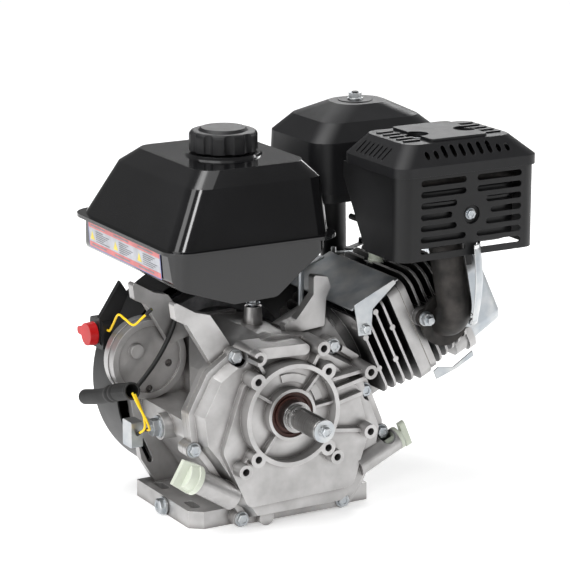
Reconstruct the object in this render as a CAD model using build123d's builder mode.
"""Small gasoline engine: one air-cooled cylinder tilted 25 degrees, horizontal output shaft.

Frame: millimetres, +Z up, +X out of the output shaft, +Y towards the cylinder head.
The origin is the middle of the four base slots, on the base plane.
"""

import os
from math import cos, pi, radians, sin

from build123d import *

os.makedirs("parts", exist_ok=True)

# ---------------------------------------------------------------- driving dimensions
CRANK_Y = -11.0  # crank axis, against the middle of the base slots
CRANK_Z = 132.0  # crank axis above the base
SLANT = 25.0  # cylinder axis above the horizontal, degrees
CYL_X = 17.0  # where the cylinder axis meets the crank axis
BORE_R = 44.0
STROKE = 64.0
ROD_LENGTH = 116.0
FIT = 0.03  # radial running clearance
GAP = 0.3  # air between parts that move past each other

RING_X = 116.0  # machined ring around the output shaft
COVER_X = 100.0  # main face of the crankcase cover
FLANGE_X = 80.0  # face that the cover bolts seat on
GASKET_X = 72.0  # joint between the cover and the crankcase
BACK_X = -64.0  # flywheel side of the crankcase
GASKET_T = 0.8
WALL = 5.0
CAST_INSET = 7.0  # how far the casting walls stand in from their flanges

SLOT_SPACING_X = 75.5
SLOT_SPACING_Y = 195.0
SLOT_W = 11.0
SLOT_LENGTH = 26.0
FOOT_HEIGHT = 20.0

RING_R = 58.5
RING_INNER_R = 53.5
RING_PCD = 125.0
RING_HOLE_R = 4.2
BOSS_R = 8.25
BOSS_HOLE_R = 4.2
BOLT_LOBE_R = 9.5
SEAL_R = 26.0
JOURNAL_R = 17.5
SHAFT_R = 12.7
SHAFT_END_X = 180.0
BEARING_R = 36.0
BEARING_W = 17.0

WEB_R = 50.0
WEB_T = 16.0
PIN_R = 18.0
PIN_W = 28.0

GEAR_X = 57.0
GEAR_W = 11.0
GEAR_MODULE = 2.0
CRANK_TEETH = 24
CAM_TEETH = 48
CAM_ANGLE = -50.0  # from the crank axis to the camshaft, degrees above +Y

HEAD_JOINT = 180.0  # distances along the cylinder axis from the crank
HEAD_END = 254.0
ROCKER_END = 303.0
FIN_T = 2.8
FIN_EDGE_X = 101.0

TANK_SEAM_Z = 318.0
CAP_X = -32.0
CAP_Y = -18.0

GUARD_X = (36.0, 156.0)
GUARD_Y = (98.0, 278.0)
GUARD_Z = (298.0, 392.0)
SHEET = 1.6

CLEANER_X = (-127.0, 4.0)
CLEANER_Y = (84.0, 261.0)
CLEANER_Z = 346.0

# (from the crank axis towards the cylinder, above the base)
CASE_OUTLINE = [
    (-40, 2), (-60, 30), (-92, 80), (-107, 100), (-112, 140), (-88, 184), (-58, 204), (-6, 216),
    (38, 210), (62, 200), (86, 186), (109, 172), (118, 140), (136, 96), (130, 62), (106, 20), (92, 2),
]
COVER_BOLTS = [(-54, 198), (-106, 99), (-47, 9.5), (83, 9.5), (134, 83), (111, 136), (70, 193)]
OUTER_BOSSES = [(-42, 202), (38, 203), (99, 167), (99, 98), (56, 75), (-60, 76)]

slant_cos = cos(radians(SLANT))
slant_sin = sin(radians(SLANT))
CENTRE_DISTANCE = GEAR_MODULE * (CRANK_TEETH + CAM_TEETH) / 2
CAM_Y = CENTRE_DISTANCE * cos(radians(CAM_ANGLE))
CAM_Z = CRANK_Z + CENTRE_DISTANCE * sin(radians(CAM_ANGLE))
CAM_ALONG = CAM_Y * slant_cos + (CAM_Z - CRANK_Z) * slant_sin
CAM_PERP = (CAM_Z - CRANK_Z) * slant_cos - CAM_Y * slant_sin

LOW = (Align.CENTER, Align.CENTER, Align.MIN)
HIGH = (Align.CENTER, Align.CENTER, Align.MAX)


# ---------------------------------------------------------------- planes and small helpers
def across(x):
    """Plane across the crank at x: local x is measured from the crank axis, local y from the base."""
    return Plane((x, CRANK_Y, 0), x_dir=(0, 1, 0), z_dir=(1, 0, 0))


def on_crank(x):
    """Plane across the crank at x with its origin on the crank axis."""
    return Plane((x, CRANK_Y, CRANK_Z), x_dir=(0, 1, 0), z_dir=(1, 0, 0))


def on_cam(x):
    """Plane across the camshaft at x with its origin on the camshaft axis."""
    return Plane((x, CRANK_Y + CAM_Y, CAM_Z), x_dir=(0, 1, 0), z_dir=(1, 0, 0))


def on_cylinder(distance):
    """Plane across the cylinder axis; local x points along -X and local y up and forward."""
    return Plane(
        (CYL_X, CRANK_Y + distance * slant_cos, CRANK_Z + distance * slant_sin),
        x_dir=(-1, 0, 0),
        z_dir=(0, slant_cos, slant_sin),
    )


def facing_up(z):
    """Horizontal plane at height z."""
    return Plane.XY.offset(z)


def facing_front(y):
    """Vertical plane at y facing -Y: local x is X and local y is height."""
    return Plane((0, y, 0), x_dir=(1, 0, 0), z_dir=(0, -1, 0))


def finish(builder, name):
    """Label a finished piece and write it as one STEP file."""
    builder.part.label = name
    export_step(builder.part, f"parts/{name}.step")


def case_profile(plane, inset=0.0, lobes=False):
    """Outline of the crankcase and its cover, drawn in by the inset, with lobes for the cover bolts."""
    with BuildSketch(plane) as outline:
        with BuildLine():
            Polyline(*CASE_OUTLINE, close=True)
        make_face()
        fillet(outline.vertices(), 10)
        if inset:
            offset(amount=-inset)
        if lobes:
            with Locations(*COVER_BOLTS):
                Circle(BOLT_LOBE_R)
    return outline.sketch


def rounded_box(low, high, radius):
    """Upright box between two corners with its vertical edges rounded."""
    with BuildPart() as box:
        with BuildSketch(facing_up(low[2])):
            with Locations(((low[0] + high[0]) / 2, (low[1] + high[1]) / 2)):
                RectangleRounded(high[0] - low[0], high[1] - low[1], radius)
        extrude(amount=high[2] - low[2])
    return box.part


def loft_box(sections):
    """Solid through rounded rectangles, each (z, low x, high x, low y, high y, corner radius)."""
    with BuildPart() as body:
        for z, low_x, high_x, low_y, high_y, radius in sections:
            with BuildSketch(facing_up(z)):
                with Locations(((low_x + high_x) / 2, (low_y + high_y) / 2)):
                    RectangleRounded(high_x - low_x, high_y - low_y, radius)
        loft(ruled=True)
    return body.part


def flange_bolt(size, length, head_scale=1.0):
    """Hexagon flange bolt along +Z, its flange seated at the origin and its shank below."""
    flange = size * 0.2
    with BuildPart() as bolt:
        Cylinder(size * 1.05 * head_scale, flange, align=LOW)
        with BuildSketch(facing_up(flange)):
            RegularPolygon(size * 0.78 * head_scale, 6, major_radius=False)
        extrude(amount=size * 0.6)
        chamfer(bolt.faces().sort_by(Axis.Z)[-1].edges(), size * 0.09)
        with BuildSketch(facing_up(flange + size * 0.6)):
            Circle(size * 0.45)
        extrude(amount=-size * 0.12, mode=Mode.SUBTRACT)
        Cylinder(size / 2, length, align=HIGH)
    return bolt.part


def gear_profile(plane, teeth, turned=0.0):
    """Spur gear outline with straight-sided teeth, slightly thin for backlash."""
    pitch_r = GEAR_MODULE * teeth / 2
    tip_r = pitch_r + 0.85 * GEAR_MODULE
    root_r = pitch_r - 1.2 * GEAR_MODULE
    step = 2 * pi / teeth
    corners = []
    for tooth in range(teeth):
        middle = radians(turned) + tooth * step
        for radius, part_of_step in ((root_r, -0.33), (tip_r, -0.115), (tip_r, 0.115), (root_r, 0.33)):
            angle = middle + part_of_step * step
            corners.append((radius * cos(angle), radius * sin(angle)))
    with BuildSketch(plane) as outline:
        with BuildLine():
            Polyline(*corners, close=True)
        make_face()
    return outline.sketch


def rib(x_low, x_high, start, end, thickness):
    """Upright web between two points of the across() plane, from x_low to x_high."""
    run = Vector(end[0] - start[0], end[1] - start[1])
    middle = ((start[0] + end[0]) / 2, (start[1] + end[1]) / 2)
    with BuildPart() as web:
        with BuildSketch(across(x_low)):
            with Locations(Location(middle, Vector(1, 0).get_signed_angle(run, Vector(0, 0, 1)))):
                Rectangle(run.length, thickness)
        extrude(amount=x_high - x_low)
    return web.part


def tube(points, radii, radius):
    """Round bar along straight runs joined by tangent arcs."""
    with BuildPart() as bar:
        with BuildLine() as path:
            FilletPolyline(*points, radius=radii)
        with BuildSketch(Plane(origin=path.line @ 0, z_dir=path.line % 0)):
            Circle(radius)
        sweep(path=path.line)
    return bar.part


def lead_radii(points):
    """Corner radii of a lead: as large as each corner's two runs allow."""
    radii = []
    for before, corner, after in zip(points, points[1:], points[2:]):
        first = Vector(corner) - Vector(before)
        second = Vector(after) - Vector(corner)
        turn = radians(first.get_angle(second))
        radii.append(0.45 * min(first.length, second.length) / (sin(turn / 2) / cos(turn / 2)))
    return radii


def lead(points, radius):
    """Flexible lead of round section through hand-set points."""
    return tube(points, lead_radii(points), radius)


# ---------------------------------------------------------------- crankcase with its cylinder barrel
BACK_OUTLINE = [
    (-70, 14), (-86, 20), (-104, 50), (-112, 96), (-117, 128), (-143, 176), (-60, 208), (20, 210), (20, 14),
]
RECESS_Z = 124.0  # the casting narrows above this height to make room for the starter boss
DRAINS = [(-1, -112, -1), (10, 113, 1)]  # x, y and facing of the two drain bolts
STARTER_BOSS = (-97, 170)
STARTER_BOSS_R = 47.0
FRONT_ARM = [(-124, 267), (-97, 251), (-79, 246), (-56, 212), (-50, 196), (-77, 188), (-107, 238), (-121, 245)]
REAR_TOWER = [(56, 272), (74, 268), (78, 256), (72, 244), (70, 212), (22, 208), (18, 220), (34, 224), (56, 250)]
POST_PLACE = (-8.0, 6.0)
POST_TOP_Z = 226.0
GOVERNOR_PLACE = (10.0, 58.0)
GOVERNOR_Z = 268.0
HEAD_BOLT_PLACES = [(-51, 36), (-51, -42), (51, 36), (51, -42)]  # across the cylinder axis
SHROUD_BOLT = (99, 214)
FINS = [(97, 60), (108.5, 60), (120, 101), (131.5, 101), (143, 101), (154.5, 101)]
FIN_BACK_X = -50.0
ejector_dots = [(120, 22), (120, -20), (143, 42), (143, -22), (154.5, 14)]


def fin_profile(distance, edge_x, low, high, radius):
    """Rounded fin across the cylinder axis, from FIN_BACK_X to edge_x."""
    with BuildSketch(on_cylinder(distance)) as fin:
        with Locations((CYL_X - (edge_x + FIN_BACK_X) / 2, (low + high) / 2)):
            RectangleRounded(edge_x - FIN_BACK_X, high - low, radius)
    return fin.sketch


def recess(deeper):
    """Space in front of the slanted upper front wall, taken deeper into the casting by a wall thickness."""
    with BuildPart() as space:
        with BuildSketch(facing_up(RECESS_Z - deeper)):
            with BuildLine():
                Polyline(
                    (BACK_X + 10, CRANK_Y - 48 + deeper), (-40, CRANK_Y - 48 + deeper), (62, CRANK_Y - 100 + deeper),
                    (62, CRANK_Y - 200), (BACK_X + 10, CRANK_Y - 200), close=True,
                )
            make_face()
        extrude(amount=120)
    return space.part


with BuildPart() as chamber:
    extrude(case_profile(across(BACK_X + 10), CAST_INSET + WALL), amount=GASKET_X - BACK_X)
    add(recess(WALL), mode=Mode.SUBTRACT)

with BuildPart() as crankcase:
    extrude(case_profile(across(GASKET_X - GASKET_T - 10), lobes=True), amount=10)
    extrude(case_profile(across(BACK_X), CAST_INSET), amount=GASKET_X - GASKET_T - BACK_X)
    with BuildSketch(across(BACK_X)):
        with BuildLine():
            Polyline(*BACK_OUTLINE, close=True)
        make_face()
        with Locations(STARTER_BOSS):
            Circle(STARTER_BOSS_R)
    extrude(amount=10)
    # the front wall slants in behind the flange, above the oil sump
    add(recess(0), mode=Mode.SUBTRACT)
    # feet
    with BuildSketch(facing_up(0)):
        with BuildLine():
            Polyline((-72, -112), (56, -112), (67, -98), (67, -45), (-72, -45), close=True)
        make_face()
    extrude(amount=FOOT_HEIGHT)
    add(rounded_box((-69, 70, 0), (69, 113, FOOT_HEIGHT), 3))
    # barrel, fins and head flange
    with BuildSketch(on_cylinder(64)):
        Circle(BORE_R + 9)
    extrude(amount=HEAD_JOINT - 64)
    for index, (distance, edge_x) in enumerate(FINS):
        extrude(fin_profile(distance, edge_x, -50 - 2.5 * index, 40 + 3.5 * index, 16), amount=FIN_T)
    extrude(fin_profile(166, FIN_EDGE_X, -66, 58, 12), amount=HEAD_JOINT - 166)
    for distance, height in ejector_dots:
        with BuildSketch(Plane.YZ.offset(FIN_EDGE_X - 6)):
            with Locations((
                CRANK_Y + (distance + FIN_T / 2) * slant_cos - height * slant_sin,
                CRANK_Z + (distance + FIN_T / 2) * slant_sin + height * slant_cos,
            )):
                Circle(3.4)
        extrude(amount=6.2)
    # pushrod gallery under the barrel
    with BuildSketch(on_cylinder(100)):
        with Locations((0, CAM_PERP + 4)):
            RectangleRounded(52, 28, 8)
    extrude(amount=HEAD_JOINT - 100)
    # tank arm, rear tower and post
    for x, outline, thickness in ((58, FRONT_ARM, 12), (50, REAR_TOWER, 12), (-42, FRONT_ARM, 12)):
        with BuildSketch(across(x)) as arm:
            with BuildLine():
                Polyline(*outline, close=True)
            make_face()
            fillet(arm.vertices(), 3)
        extrude(amount=thickness)
    with BuildSketch(facing_up(196)):
        with Locations(POST_PLACE):
            Circle(12)
    extrude(amount=POST_TOP_Z - 196, taper=4)
    # oil level boss and drain bosses on the front wall
    with BuildSketch(facing_front(CRANK_Y - 85)):
        with Locations((10, 108)):
            Circle(15)
    extrude(amount=28)
    # crank chamber
    add(chamber.part, mode=Mode.SUBTRACT)
    # barrel spigot reaches into the chamber
    with BuildSketch(on_cylinder(70)):
        Circle(BORE_R + 6)
    extrude(amount=40)
    # flywheel side bearing housing
    with BuildSketch(on_crank(BACK_X)):
        Circle(BEARING_R + 6)
    extrude(amount=34)
    with BuildSketch(on_crank(BACK_X)):
        Circle(SEAL_R)
    extrude(amount=10, mode=Mode.SUBTRACT)
    with BuildSketch(on_crank(BACK_X)):
        Circle(JOURNAL_R + 4)
    extrude(amount=40, mode=Mode.SUBTRACT)
    with BuildSketch(on_crank(BACK_X + 14)):
        Circle(BEARING_R)
    extrude(amount=40, mode=Mode.SUBTRACT)
    # camshaft bearing in the flywheel side wall
    with BuildSketch(on_cam(BACK_X + 4)):
        Circle(14)
    extrude(amount=16)
    with BuildSketch(on_cam(BACK_X + 6)):
        Circle(8 + FIT)
    extrude(amount=20, mode=Mode.SUBTRACT)
    # tappet guides, bored towards the head
    with BuildSketch(on_cylinder(58)):
        with Locations((0, CAM_PERP)):
            RectangleRounded(56, 26, 6)
    extrude(amount=50)
    with BuildSketch(on_cylinder(50)):
        with Locations((-12, CAM_PERP), (12, CAM_PERP)):
            Circle(5 + FIT)
    extrude(amount=HEAD_JOINT - 50 + 1, mode=Mode.SUBTRACT)
    with BuildSketch(on_cylinder(110)):
        with Locations((-12, CAM_PERP), (12, CAM_PERP)):
            Circle(8)
    extrude(amount=HEAD_JOINT - 110 + 1, mode=Mode.SUBTRACT)
    # cylinder bore
    with BuildSketch(on_cylinder(55)):
        Circle(BORE_R)
    extrude(amount=HEAD_JOINT - 50, mode=Mode.SUBTRACT)
    # base slots
    for y in (-SLOT_SPACING_Y / 2, SLOT_SPACING_Y / 2):
        with BuildSketch(facing_up(0)):
            with Locations((-SLOT_SPACING_X / 2, y), (SLOT_SPACING_X / 2, y)):
                SlotOverall(SLOT_LENGTH, SLOT_W)
        extrude(amount=FOOT_HEIGHT, mode=Mode.SUBTRACT)
    # drain threads and the boss for the shroud bolt
    for x, y, facing in DRAINS:
        with BuildSketch(Plane((x, y, FOOT_HEIGHT / 2), x_dir=(1, 0, 0), z_dir=(0, -facing, 0))):
            Circle(5)
        extrude(amount=16, mode=Mode.SUBTRACT)
    with BuildSketch(across(84)):
        with Locations(SHROUD_BOLT):
            Circle(7)
    extrude(amount=FIN_EDGE_X - 84)
    with BuildSketch(across(88)):
        with Locations(SHROUD_BOLT):
            Circle(3)
    extrude(amount=20, mode=Mode.SUBTRACT)
    # bush of the governor shaft
    with BuildSketch(facing_up(GOVERNOR_Z - 70)):
        with Locations(GOVERNOR_PLACE):
            Circle(3.5 + FIT)
    extrude(amount=60, mode=Mode.SUBTRACT)
    # curved window in the flywheel side wall
    with BuildSketch(across(BACK_X)):
        with Locations(Location((-98, 60), 114)):
            SlotOverall(34, 7)
    extrude(amount=10, mode=Mode.SUBTRACT)
    # threads for the head bolts, the post and the cover bolts
    with BuildSketch(on_cylinder(HEAD_JOINT - 22)):
        with Locations(*HEAD_BOLT_PLACES):
            Circle(4)
    extrude(amount=22, mode=Mode.SUBTRACT)
    with BuildSketch(facing_up(POST_TOP_Z - 20)):
        with Locations(POST_PLACE):
            Circle(4)
    extrude(amount=20, mode=Mode.SUBTRACT)
    with BuildSketch(across(GASKET_X - 22)):
        with Locations(*COVER_BOLTS):
            Circle(4)
    extrude(amount=22, mode=Mode.SUBTRACT)
finish(crankcase, "crankcase")

# ---------------------------------------------------------------- crankcase cover
COVER_RIBS = [
    ((44, 162), (96, 168)), ((54, 150), (100, 160)), ((57, 134), (92, 142)), ((30, 184), (40, 200)),
    ((-32, 182), (-42, 199)), ((56, 104), (98, 98)), ((-44, 96), (-60, 78)),
]
FRONT_NECK = ((-62, 40), (-108, 67))  # oil filler necks, from root to mouth
REAR_NECK = ((96, 52), (149, 74))
NECK_X = 88.0
NECK_R = 14.0
DISH_X = 101.0


def neck_axis(places, distance):
    """Plane square to an oil filler neck, a distance along it from its root, facing its mouth."""
    root, mouth = places
    direction = Vector(0, mouth[0] - root[0], mouth[1] - root[1]).normalized()
    origin = Vector(NECK_X, CRANK_Y + root[0], root[1]) + direction * distance
    return Plane(origin, x_dir=(1, 0, 0), z_dir=direction)


def neck_length(places):
    """Distance from the root of an oil filler neck to its mouth."""
    root, mouth = places
    return Vector(mouth[0] - root[0], mouth[1] - root[1]).length


with BuildPart() as crankcase_cover:
    extrude(case_profile(across(GASKET_X), lobes=True), amount=FLANGE_X - GASKET_X)
    extrude(case_profile(across(FLANGE_X), CAST_INSET), amount=COVER_X - FLANGE_X - 6, taper=22)
    with BuildSketch(on_crank(FLANGE_X)):
        Circle(RING_R + 3)
    extrude(amount=COVER_X - FLANGE_X, taper=8)
    # raised front plate below and behind the ring
    with BuildSketch(across(FLANGE_X)) as plate:
        with BuildLine():
            Polyline((-52, 22), (-86, 96), (-60, 170), (-40, 190), (60, 186), (96, 150), (112, 92), (90, 26), close=True)
        make_face()
        fillet(plate.vertices(), 18)
    extrude(amount=COVER_X - FLANGE_X, taper=16)
    # machined ring with its four ears
    with BuildSketch(on_crank(FLANGE_X)):
        Circle(RING_R)
        with PolarLocations(RING_PCD / 2, 4, start_angle=45):
            Circle(9)
    extrude(amount=RING_X - FLANGE_X)
    with BuildSketch(on_crank(DISH_X)):
        Circle(RING_INNER_R)
    extrude(amount=RING_X - DISH_X, mode=Mode.SUBTRACT)
    # seal boss, dish ribs and raised pads
    with BuildSketch(on_crank(FLANGE_X)):
        Circle(SEAL_R + 3.5)
    extrude(amount=RING_X - FLANGE_X - 3)
    for angle in (48, 6, -128, 146):
        with BuildSketch(on_crank(DISH_X)):
            with PolarLocations(SEAL_R + 15, 1, start_angle=angle):
                Rectangle(2 * RING_INNER_R - 2 * SEAL_R - 25, 3)
        extrude(amount=8)
    for start, sweep_angle in ((14, 26), (58, 44)):
        with BuildSketch(Plane((DISH_X, CRANK_Y, CRANK_Z), x_dir=(0, cos(radians(start)), sin(radians(start))),
                               z_dir=(0, sin(radians(start)), -cos(radians(start))))):
            with Locations((40, -1.5)):
                Rectangle(9, 7)
        revolve(axis=Axis((0, CRANK_Y, CRANK_Z), (1, 0, 0)), revolution_arc=sweep_angle)
    # outer bosses, ribs and the bulge along the top
    with BuildSketch(across(FLANGE_X - 4)):
        with Locations(*OUTER_BOSSES):
            Circle(BOSS_R + 1.2)
    extrude(amount=RING_X - FLANGE_X + 4, taper=2)
    for start, end in COVER_RIBS:
        add(rib(FLANGE_X, RING_X - 8, start, end, 4))
    add(rib(GASKET_X + 2, FLANGE_X + 6, (70, 196), (99, 176), 7))
    with BuildSketch(across(GASKET_X + 2)):
        with Locations(Location((-12, 203), -2)):
            SlotOverall(84, 19)
    extrude(amount=COVER_X + 2 - GASKET_X, taper=6)
    with BuildSketch(across(GASKET_X + 2)):
        with Locations((-20, 9)):
            Circle(9)
    extrude(amount=FLANGE_X - GASKET_X + 8)
    # oil filler necks
    for places in (FRONT_NECK, REAR_NECK):
        with BuildSketch(neck_axis(places, 0)):
            Circle(NECK_R + 1)
        extrude(amount=neck_length(places), taper=2)
    # oil chamber inside, bearing housing, seal and shaft passages
    extrude(case_profile(across(GASKET_X), CAST_INSET + WALL), amount=FLANGE_X - GASKET_X + 8, mode=Mode.SUBTRACT)
    with BuildSketch(on_crank(GASKET_X)):
        Circle(BEARING_R + 6)
    extrude(amount=FLANGE_X - GASKET_X + 9)
    with BuildSketch(on_cam(GASKET_X)):
        Circle(13)
    extrude(amount=FLANGE_X - GASKET_X + 9)
    with BuildSketch(on_cam(GASKET_X)):
        Circle(8 + FIT)
    extrude(amount=12, mode=Mode.SUBTRACT)
    with BuildSketch(on_crank(GASKET_X)):
        Circle(BEARING_R)
    extrude(amount=BEARING_W + 2, mode=Mode.SUBTRACT)
    with BuildSketch(on_crank(GASKET_X)):
        Circle(JOURNAL_R + 4)
    extrude(amount=RING_X - GASKET_X, mode=Mode.SUBTRACT)
    with BuildSketch(on_crank(RING_X - 14)):
        Circle(SEAL_R)
    extrude(amount=20, mode=Mode.SUBTRACT)
    for places in (FRONT_NECK, REAR_NECK):
        with BuildSketch(neck_axis(places, 8)):
            Circle(10)
        extrude(amount=neck_length(places), mode=Mode.SUBTRACT)
    # threads in the ears and bosses, holes for the cover bolts
    with BuildSketch(on_crank(RING_X - 20)):
        with PolarLocations(RING_PCD / 2, 4, start_angle=45):
            Circle(RING_HOLE_R)
    extrude(amount=20, mode=Mode.SUBTRACT)
    with BuildSketch(across(RING_X - 24)):
        with Locations(*OUTER_BOSSES):
            Circle(BOSS_HOLE_R)
    extrude(amount=24, mode=Mode.SUBTRACT)
    with BuildSketch(across(FLANGE_X)):
        with Locations(*COVER_BOLTS):
            Circle(BOLT_LOBE_R)
    extrude(amount=40, mode=Mode.SUBTRACT)
    with BuildSketch(across(GASKET_X)):
        with Locations(*COVER_BOLTS):
            Circle(4.2)
    extrude(amount=20, mode=Mode.SUBTRACT)
finish(crankcase_cover, "crankcase_cover")

with BuildPart() as cover_gasket:
    extrude(case_profile(across(GASKET_X - GASKET_T), lobes=True), amount=GASKET_T)
    extrude(case_profile(across(GASKET_X - GASKET_T), CAST_INSET + WALL), amount=GASKET_T, mode=Mode.SUBTRACT)
    with BuildSketch(across(GASKET_X - GASKET_T)):
        with Locations(*COVER_BOLTS):
            Circle(4.2)
    extrude(amount=GASKET_T, mode=Mode.SUBTRACT)
finish(cover_gasket, "cover_gasket")

# ---------------------------------------------------------------- shaft, bearings and seals
with BuildPart() as crankshaft:
    pin_half = PIN_W / 2
    for web_x in (CYL_X - pin_half - WEB_T, CYL_X + pin_half):
        with BuildSketch(on_crank(web_x)) as web:
            Circle(WEB_R)
            with Locations((WEB_R, 0)):
                Rectangle(WEB_R, 2 * WEB_R, mode=Mode.SUBTRACT, rotation=0)
            with Locations((STROKE / 2 * slant_cos, STROKE / 2 * slant_sin)):
                Circle(PIN_R + 3)
            with Locations((0, 0)):
                Circle(JOURNAL_R + 6)
        extrude(amount=WEB_T)
    with BuildSketch(on_crank(CYL_X - pin_half)):
        with Locations((STROKE / 2 * slant_cos, STROKE / 2 * slant_sin)):
            Circle(PIN_R)
    extrude(amount=PIN_W)
    with BuildSketch(on_crank(CYL_X + pin_half + WEB_T)):
        Circle(JOURNAL_R)
    extrude(amount=124 - CYL_X - pin_half - WEB_T)
    with BuildSketch(on_crank(124)):
        Circle(SHAFT_R + 1.6)
    extrude(amount=6)
    with BuildSketch(on_crank(124)):
        Circle(SHAFT_R)
    extrude(amount=SHAFT_END_X - 124)
    chamfer(crankshaft.faces().sort_by(Axis.X)[-1].edges(), 1)
    extrude(gear_profile(on_crank(GEAR_X), CRANK_TEETH, turned=CAM_ANGLE), amount=GEAR_W)
    with BuildSketch(on_crank(-80)):
        Circle(JOURNAL_R)
    extrude(amount=CYL_X - pin_half - WEB_T + 80)
    with BuildSketch(on_crank(-104)):
        Circle(11)
    extrude(amount=26)
    with BuildSketch(on_crank(-138)):
        Circle(8)
    extrude(amount=35)
    # keyway and end thread
    with BuildSketch(facing_up(CRANK_Z + SHAFT_R - 3.6)):
        with Locations((SHAFT_END_X - 24, CRANK_Y)):
            Rectangle(50, 6.35)
    extrude(amount=8, mode=Mode.SUBTRACT)
    with BuildSketch(on_crank(SHAFT_END_X)):
        Circle(4)
    extrude(amount=-28, mode=Mode.SUBTRACT)
finish(crankshaft, "crankshaft")

with BuildPart() as shaft_end_bolt:
    with BuildSketch(on_crank(SHAFT_END_X)):
        Circle(SHAFT_R - 0.1)
        Circle(4.2, mode=Mode.SUBTRACT)
    extrude(amount=2.4)
    with Locations(on_crank(SHAFT_END_X + 2.4)):
        add(flange_bolt(8, 26, 0.82))
finish(shaft_end_bolt, "shaft_end_bolt")

with BuildPart() as main_bearings:
    for x in (BACK_X + 14, GASKET_X + 2):
        for outer, inner in ((BEARING_R, BEARING_R - 6), (JOURNAL_R + 5.5, JOURNAL_R + FIT)):
            with BuildSketch(on_crank(x)):
                Circle(outer)
                Circle(inner, mode=Mode.SUBTRACT)
            extrude(amount=BEARING_W)
        with Locations(on_crank(x + BEARING_W / 2)):
            with PolarLocations((BEARING_R - 6 + JOURNAL_R + 5.5) / 2, 9):
                Sphere(3.4)
finish(main_bearings, "main_bearings")

with BuildPart() as oil_seals:
    for x in (BACK_X + 1, RING_X - 13):
        with BuildSketch(on_crank(x)):
            Circle(SEAL_R)
            Circle(JOURNAL_R + FIT, mode=Mode.SUBTRACT)
        extrude(amount=8)
        with BuildSketch(on_crank(x + 5)):
            Circle(SEAL_R - 3.5)
            Circle(JOURNAL_R + 2.5, mode=Mode.SUBTRACT)
        extrude(amount=4, mode=Mode.SUBTRACT)
finish(oil_seals, "oil_seals")

# ---------------------------------------------------------------- camshaft
LOBE_R = 12.0
LOBE_LIFT = 5.0

with BuildPart() as camshaft:
    with BuildSketch(on_cam(BACK_X + 7)):
        Circle(8)
    extrude(amount=GASKET_X + 10 - BACK_X - 7)
    with BuildSketch(on_cam(-6)):
        Circle(LOBE_R - 2)
    extrude(amount=50)
    half_turn_from_tappets = SLANT + 180
    for x, lobe_angle in ((CYL_X - 12, half_turn_from_tappets + 50), (CYL_X + 12, half_turn_from_tappets - 50)):
        tip = Vector(cos(radians(lobe_angle)), sin(radians(lobe_angle)))
        with BuildSketch(on_cam(x - 6)):
            Circle(LOBE_R)
            for step in range(1, 4):
                with Locations(tip * (LOBE_LIFT + 4) * step / 3):
                    Circle(LOBE_R - 4 * step / 3)
        extrude(amount=12)
    extrude(gear_profile(on_cam(GEAR_X), CAM_TEETH, turned=CAM_ANGLE + 180 + 180 / CAM_TEETH), amount=GEAR_W)
    with BuildSketch(on_cam(GEAR_X)):
        with PolarLocations(28, 6):
            Circle(8)
    extrude(amount=GEAR_W, mode=Mode.SUBTRACT)
finish(camshaft, "camshaft")

# ---------------------------------------------------------------- piston, rod and valve train
CROWN = STROKE / 2 + ROD_LENGTH + 30.0
WRIST_R = 10.0
WRIST_AT = STROKE / 2 + ROD_LENGTH

with BuildPart() as piston:
    with BuildSketch(on_cylinder(CROWN - 62)):
        Circle(BORE_R - 0.05)
    extrude(amount=62)
    with BuildSketch(on_cylinder(CROWN - 62)):
        Circle(BORE_R - 7)
    extrude(amount=52, mode=Mode.SUBTRACT)
    for side in (-1, 1):
        with BuildSketch(Plane(on_cylinder(WRIST_AT).origin, x_dir=(0, slant_cos, slant_sin), z_dir=(side, 0, 0)).offset(16)):
            Circle(WRIST_R + 6)
        extrude(amount=BORE_R - 16 - 8)
    for below_crown in (6, 12, 18):
        with BuildSketch(on_cylinder(CROWN - below_crown - 2)):
            Circle(BORE_R + 1)
            Circle(BORE_R - 4, mode=Mode.SUBTRACT)
        extrude(amount=2, mode=Mode.SUBTRACT)
    with BuildSketch(Plane(on_cylinder(WRIST_AT).origin, x_dir=(0, slant_cos, slant_sin), z_dir=(1, 0, 0)).offset(-50)):
        Circle(WRIST_R + FIT)
    extrude(amount=100, mode=Mode.SUBTRACT)
finish(piston, "piston")

with BuildPart() as pin_and_rings:
    with BuildSketch(Plane(on_cylinder(WRIST_AT).origin, x_dir=(0, slant_cos, slant_sin), z_dir=(1, 0, 0)).offset(-40)):
        Circle(WRIST_R)
        Circle(WRIST_R - 4, mode=Mode.SUBTRACT)
    extrude(amount=80)
    for below_crown in (6, 12, 18):
        with BuildSketch(on_cylinder(CROWN - below_crown - 1.9)):
            Circle(BORE_R - 0.02)
            Circle(BORE_R - 3.6, mode=Mode.SUBTRACT)
        extrude(amount=1.8)
finish(pin_and_rings, "piston_pin_and_rings")

with BuildPart() as connecting_rod:
    rod_plane = Plane((CYL_X - 9, CRANK_Y, CRANK_Z), x_dir=(0, slant_cos, slant_sin), z_dir=(1, 0, 0))
    with BuildSketch(rod_plane) as rod:
        with Locations((STROKE / 2, 0)):
            Circle(PIN_R + 8)
        with Locations((WRIST_AT, 0)):
            Circle(WRIST_R + 5)
        with Locations(((STROKE / 2 + WRIST_AT) / 2, 0)):
            Rectangle(ROD_LENGTH, 16)
        with Locations((STROKE / 2 - 2, 0)):
            Rectangle(26, 2 * PIN_R + 26)
    extrude(amount=18)
    with BuildSketch(rod_plane):
        with Locations((STROKE / 2, 0)):
            Circle(PIN_R + FIT)
        with Locations((WRIST_AT, 0)):
            Circle(WRIST_R + FIT)
    extrude(amount=18, mode=Mode.SUBTRACT)
    # joint between the rod and its cap
    with BuildSketch(rod_plane):
        with Locations((STROKE / 2 - 0.2, 0)):
            Rectangle(0.2, 80)
    extrude(amount=18, mode=Mode.SUBTRACT)
finish(connecting_rod, "connecting_rod")

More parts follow.
